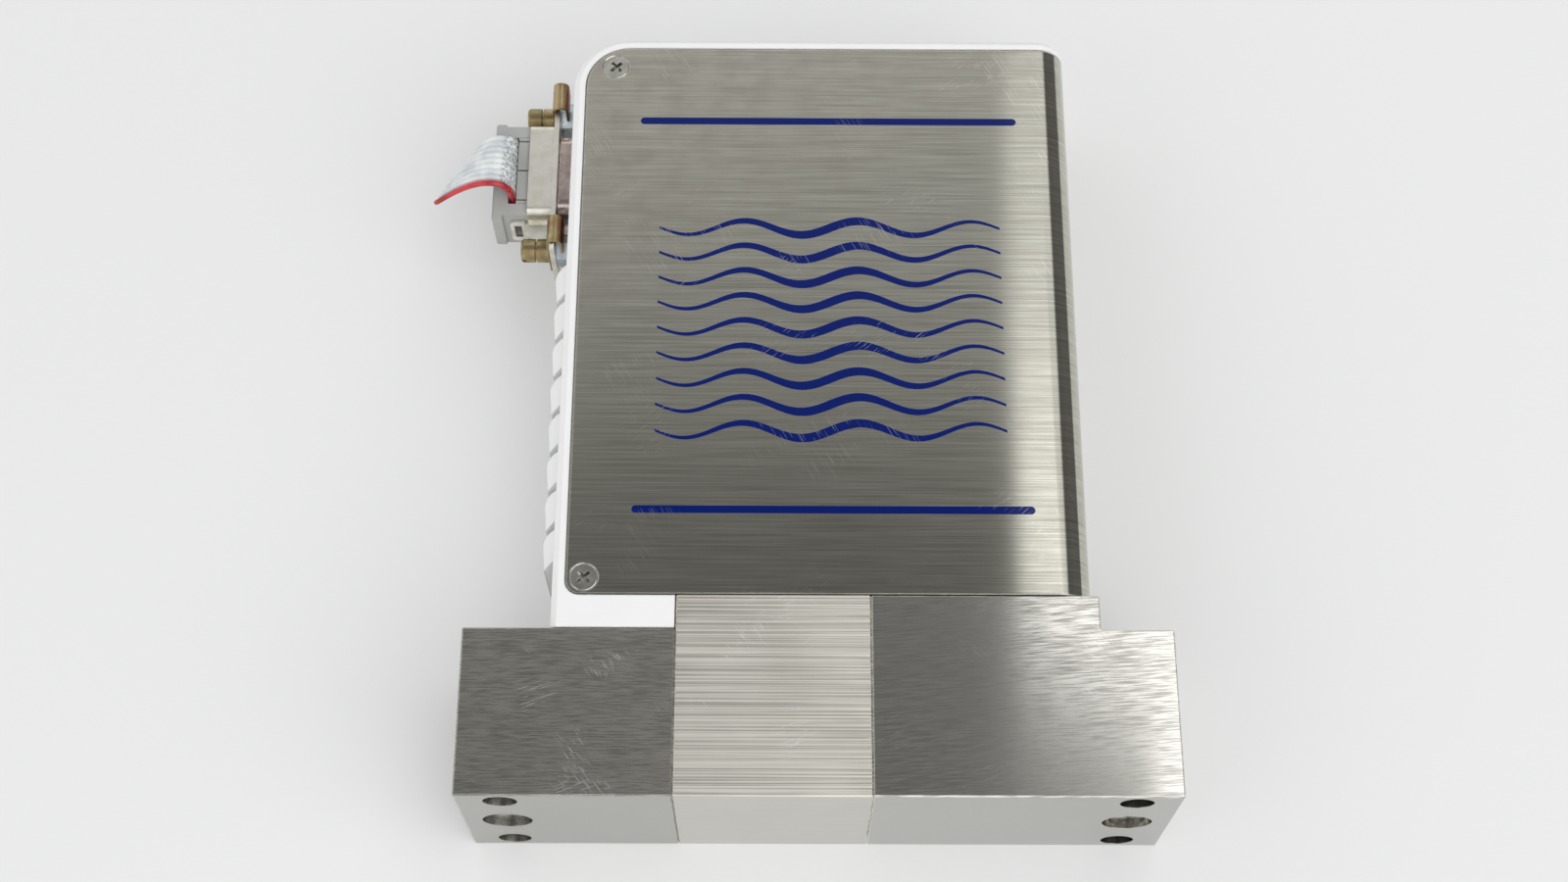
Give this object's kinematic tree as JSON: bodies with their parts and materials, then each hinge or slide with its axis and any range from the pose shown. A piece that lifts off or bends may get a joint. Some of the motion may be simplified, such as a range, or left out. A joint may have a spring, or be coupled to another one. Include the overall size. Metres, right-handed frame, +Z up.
{
  "type": "mass flow controller",
  "caption": "Surface-mount gas mass flow controller: ported brushed steel base blocks, folded steel cover on a white moulded housing, and a flat-cable plug on its inlet side.",
  "frame": {"origin": "middle of the flat side it lies on, halfway along the base and halfway up the instrument", "axes": "+X along the flow from inlet to outlet, +Y from the mounting face to the top of the housing, +Z up through the thickness"},
  "size_m": [0.1155, 0.1278, 0.0286],
  "materials": {
    "base_steel": "fine-ground stainless steel",
    "cover_steel": "brushed stainless sheet",
    "screw_steel": "bright plated steel",
    "inner_steel": "turned stainless steel",
    "housing_white": "white moulded plastic",
    "shell_tin": "tinned sheet steel",
    "chromate": "yellow chromated steel",
    "standoff_steel": "blue-grey plated steel",
    "plug_grey": "grey moulded plastic",
    "cable_grey": "grey flexible insulation",
    "cable_red": "red flexible insulation",
    "black_plastic": "black moulded plastic",
    "board_green": "green laminate",
    "copper": "enamelled copper",
    "contact_gold": "gilt brass",
    "capacitor_can": "plain aluminium"
  },
  "bodies": {
    "controller": {"inlet_block": "base_steel", "centre_block": "base_steel", "outlet_block": "base_steel", "inlet_tie_screws": "screw_steel", "outlet_tie_screws": "screw_steel", "joint_seals": "inner_steel", "inlet_screen": "inner_steel", "bypass_element": "inner_steel", "sensor_base": "inner_steel", "sensor_tube": "inner_steel", "sensor_windings": "copper", "sensor_cover": "inner_steel", "sensor_screws": "screw_steel", "sensor_seals": "inner_steel", "valve_seat": "inner_steel", "valve_stem": "inner_steel", "valve_screws": "screw_steel", "pole_piece": "inner_steel", "solenoid_yoke": "inner_steel", "coil_bobbin": "black_plastic", "solenoid_winding": "copper", "coil_nut": "screw_steel", "valve_spring": "inner_steel", "housing_frame": "housing_white", "foot_screws": "screw_steel", "steel_cover": "cover_steel", "cover_screws": "screw_steel", "socket_shell": "shell_tin", "socket_insulator": "black_plastic", "socket_pins": "contact_gold", "hex_standoffs": "standoff_steel", "connector_nuts": "screw_steel", "plug_front_shell": "shell_tin", "plug_rear_shell": "shell_tin", "plug_body": "plug_grey", "plug_contacts": "contact_gold", "plug_cable_cover": "plug_grey", "jackscrews": "chromate", "retainer_clips": "chromate", "ribbon_red": "cable_red", "ribbon_grey": "cable_grey", "main_board": "board_green", "board_screws": "screw_steel", "connector_board": "board_green", "board_link": "black_plastic", "board_chips": "black_plastic", "board_coil_and_header": "black_plastic", "board_capacitors": "capacitor_can"},
    "plunger": {"valve_plunger": "inner_steel"}
  },
  "joints": [
    {"name": "plunger_lift", "type": "slide", "parent": "controller", "child": "plunger", "axis": [0, 1, 0], "range_m": [0, 0.0003], "stiffness_N_per_m": 200, "springref_m": -0.003}
  ]
}
